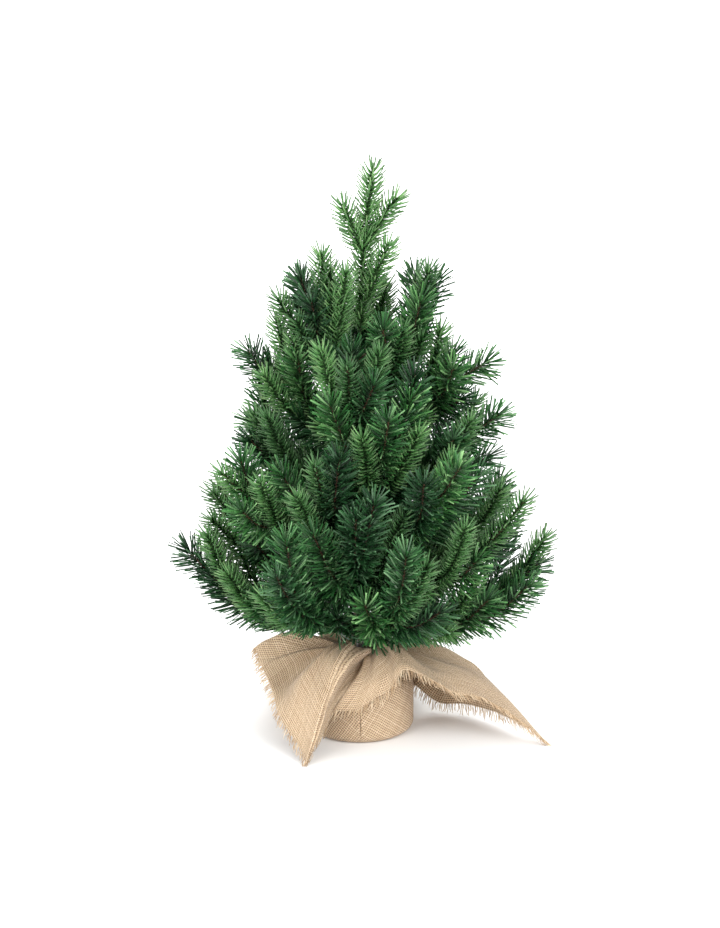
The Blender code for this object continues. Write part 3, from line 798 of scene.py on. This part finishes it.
front = (heading[:-1] - radians(CREASE_HEADING)) * 1000 * CLOTH_RADIUS
bulge, groove = CREASE_WIDTHS
crease = CREASE_DEPTH * (np.exp(-np.abs(front) / bulge) - np.exp(-(front / groove)**2))
fading = np.interp(cloth_grid[:, :1, 2], [0.006, 0.014, 0.028, 0.038], [0, 1, 1, 0])
crease = crease * fading * (np.arange(len(cloth_grid)) < CREASE_ROWS)[:, None]
cloth_grid = cloth_grid + surface_normals(cloth_grid) * (depth * pleat + ripple + crease)[..., None]

near = np.arange(columns)
after = (near + 1) % columns
quad = np.stack([near, after, after + columns, near + columns], axis=1)
cloth_faces = (np.arange(len(cloth_grid) - 1)[:, None, None] * columns + quad).reshape(-1, 4)
burlap = mesh_piece("burlap", cloth_grid.reshape(-1, 3), [cloth_faces, near[None, ::-1]])

# Flat coordinates, in metres: round the drum, arc by path; beyond the neck, places in the square.
drum_path = path_lengths(drum_profile)
drum_flat = np.stack(np.broadcast_arrays(heading * CLOTH_RADIUS, drum_path[:, None]), axis=2)
drum_flat = drum_flat @ DRUM_WEAVE
full_circle = np.concatenate([skirt_grid, skirt_grid[:, :1]], axis=1)
around_flat = path_lengths(full_circle[-HEM_ROWS:].mean(axis=0))
outward_run = path_lengths(full_circle)
inward = outward_run[-1] - outward_run
narrowing = 1.0 - SKIRT_NARROWING * inward / inward[:1]
middle = around_flat - around_flat[np.array(CORNERS) * STEPS][:, None]
nearest = around_flat[np.array(CORNERS) * STEPS][np.argmin(np.abs(middle), axis=0)]
skirt_flat = np.stack([nearest + (around_flat - nearest) * narrowing, inward], axis=2)


def corner_values(grid):
    """A grid's values at the corners of its faces, in the order of the faces' corners."""
    return np.stack([grid[:-1, :-1], grid[:-1, 1:], grid[1:, 1:], grid[1:, :-1]], axis=2).reshape(-1, 2)


flat_layer = burlap.data.uv_layers.new(name="flat")
flat_values = np.concatenate([corner_values(drum_flat), corner_values(skirt_flat), np.zeros((columns, 2))])
flat_layer.data.foreach_set("uv", flat_values.astype(np.float32).ravel())
solid = burlap.modifiers.new("thickness", "SOLIDIFY")
solid.thickness = CLOTH_THICK
solid.offset = 0.0
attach(burlap, "tree_stand")
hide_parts("burlap_wrap")


# --- Burlap fringe ---------------------------------------------------------------------------------
# Along all four cut edges the outermost threads have come away, so the threads that crossed them
# stick out as a short uneven fringe.

FRINGE_PITCH = 0.0014
FRINGE_LENGTH = 0.0092
FRINGE_RADIUS = 0.00042
FRINGE_TAPER = np.array([1, 1, 0.9, 0.8, 0.45])
FRINGE_SIDES = 4
FRINGE_OVERLAP = 0.0010  # inside the hem
FRINGE_CURL = 0.0009

hem = np.concatenate([cloth_grid[-1], cloth_grid[-1, :1]])
before_hem = np.concatenate([cloth_grid[-3], cloth_grid[-3, :1]])
hem_run = path_lengths(hem)
thread_count = int(hem_run[-1] / FRINGE_PITCH)
spots = (np.arange(thread_count) + rng.uniform(-0.3, 0.3, thread_count)) * FRINGE_PITCH
thread_start = interpolated(spots, hem_run, hem)
outward = interpolated(spots, hem_run, hem - before_hem)
outward = unit(unit(outward) + rng.normal(0.0, 0.11, (thread_count, 3)))
thread_length = FRINGE_LENGTH * rng.uniform(0.55, 1.1, thread_count)
thread_share = np.linspace(0.0, 1.0, len(FRINGE_TAPER))
threads = thread_start[:, None] + (thread_length[:, None] * thread_share)[..., None] * outward[:, None]
threads -= FRINGE_OVERLAP * outward[:, None]
threads[..., 2] -= (thread_length * rng.uniform(0.1, 0.5, thread_count))[:, None] * thread_share**2
curl = rng.normal(0.0, FRINGE_CURL, (thread_count, 1, 3)) * np.sin(pi * thread_share)[None, :, None]
threads = threads + curl
threads[..., 2] = np.maximum(threads[..., 2], FRINGE_RADIUS + 0.0001)
fringe = mesh_piece("burlap_fringe", *rods(threads, FRINGE_RADIUS * FRINGE_TAPER, FRINGE_SIDES))
fringe_tone = np.repeat(rng.random(thread_count), len(FRINGE_TAPER) * FRINGE_SIDES)
set_tone(fringe, np.column_stack([fringe_tone, fringe_tone, fringe_tone, np.ones_like(fringe_tone)]))
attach(fringe, "tree_stand")


# --- Cloth materials -------------------------------------------------------------------------------
# Natural jute: pale tan hairy threads of uneven thickness, over and under, with painted shade on their
# flanks and in the small gaps between them.

THREAD_PITCH = 0.0023


def weave_group():
    """A group that gives a plain weave's height, gap mask and thread shade from flat coordinates."""
    made = bpy.data.node_groups.new("jute_weave", "ShaderNodeTree")
    for name in ("Height", "Gap", "Shade"):
        made.interface.new_socket(name, in_out="OUTPUT", socket_type="NodeSocketFloat")
    nodes, links = made.nodes, made.links
    flat = nodes.new("ShaderNodeUVMap")
    flat.uv_map = "flat"
    split = nodes.new("ShaderNodeSeparateXYZ")
    links.new(flat.outputs["UV"], split.inputs[0])
    drift = noise(nodes, links, flat.outputs["UV"], 60.0)
    cell = []
    wave = []
    for axis, lean in (("X", 1.2), ("Y", -1.2)):
        place = sums(nodes, links, "DIVIDE", split.outputs[axis], THREAD_PITCH)
        place = sums(nodes, links, "ADD", place, sums(nodes, links, "MULTIPLY", drift, lean))
        cell.append(sums(nodes, links, "FLOOR", place))
        centred = sums(nodes, links, "SUBTRACT", sums(nodes, links, "FRACT", place), 0.5)
        wave.append(sums(nodes, links, "ABSOLUTE", centred))
    both = sums(nodes, links, "ADD", *cell)
    over = sums(nodes, links, "ABSOLUTE", sums(nodes, links, "MODULO", both, 2.0))
    thread = [nodes.new("ShaderNodeCombineXYZ") for _ in range(2)]
    links.new(cell[0], thread[0].inputs[0])
    links.new(cell[1], thread[1].inputs[1])
    widths = [noise(nodes, links, part.outputs[0], 0.73, 0.0) for part in thread]
    looseness = noise(nodes, links, flat.outputs["UV"], 22.0)
    round_tops = []
    for part, width in zip(wave, widths):
        half = sums(nodes, links, "ADD", sums(nodes, links, "MULTIPLY", width, 0.16), 0.36)
        half = sums(nodes, links, "SUBTRACT", half, sums(nodes, links, "MULTIPLY", looseness, 0.22))
        ratio = sums(nodes, links, "DIVIDE", part, half)
        top = sums(nodes, links, "SUBTRACT", 1.0, sums(nodes, links, "MULTIPLY", ratio, ratio), True)
        round_tops.append(sums(nodes, links, "SQRT", top))
    under = sums(nodes, links, "SUBTRACT", 1.0, over)
    warp = sums(nodes, links, "MULTIPLY", round_tops[0], sums(nodes, links, "MAXIMUM", over, 0.45))
    weft = sums(nodes, links, "MULTIPLY", round_tops[1], sums(nodes, links, "MAXIMUM", under, 0.45))
    height = sums(nodes, links, "MAXIMUM", warp, weft)
    gap = sums(nodes, links, "SUBTRACT", 1.0, sums(nodes, links, "MULTIPLY", height, 2.4, True), True)
    shade = sums(nodes, links, "MULTIPLY", sums(nodes, links, "ADD", *widths), 0.5)
    result = nodes.new("NodeGroupOutput")
    for name, value in (("Height", height), ("Gap", gap), ("Shade", shade)):
        links.new(value, result.inputs[name])
    return made


def jute_material():
    """Woven jute: thread shades, painted shade on the threads' flanks and in the gaps, and the weave's
    height as a bump.
    """
    made, nodes, links, shader = plain_material("jute", (0.55, 0.40, 0.26), 0.92)
    weave = nodes.new("ShaderNodeGroup")
    weave.node_tree = weave_group()
    place = nodes.new("ShaderNodeTexCoord").outputs["Object"]
    hairs = sums(nodes, links, "MULTIPLY", noise(nodes, links, place, 1300.0, 3.0), 0.62)
    shade = sums(nodes, links, "ADD", sums(nodes, links, "MULTIPLY", weave.outputs["Shade"], 0.38), hairs)
    color = ramp(nodes, links, shade,
                 ((0.3, (0.44, 0.30, 0.175)), (0.5, (0.64, 0.475, 0.310)), (0.70, (0.86, 0.71, 0.53))))
    # painted shade: each thread darkens down its flanks to where it dips under the next
    flank_shade = ramp(nodes, links, weave.outputs["Height"], ((0.0, (0.27, 0.18, 0.11)), (0.8, (1, 1, 1))))
    color = mixed(nodes, links, "MULTIPLY", 1.0, color, flank_shade)
    # painted shade: the gaps between threads near black, for shade seen through the open weave
    color = mixed(nodes, links, "MIX", weave.outputs["Gap"], color, (0.10, 0.05, 0.022, 1.0))
    links.new(color, shader.inputs["Base Color"])
    raised(nodes, links, shader, weave.outputs["Height"], 0.0005)
    shader.inputs["Sheen Weight"].default_value = 0.15
    return made


burlap.data.materials.append(jute_material())

thread_jute, jute_nodes, jute_links, jute_shader = plain_material("jute_thread", (0.6, 0.45, 0.3), 0.9)
thread_color = ramp(jute_nodes, jute_links, tone_parts(jute_nodes, jute_links)[0],
                    ((0.0, (0.42, 0.28, 0.16)), (0.5, (0.62, 0.45, 0.29)), (1.0, (0.80, 0.66, 0.47))))
jute_links.new(thread_color, jute_shader.inputs["Base Color"])
fringe.data.materials.append(thread_jute)
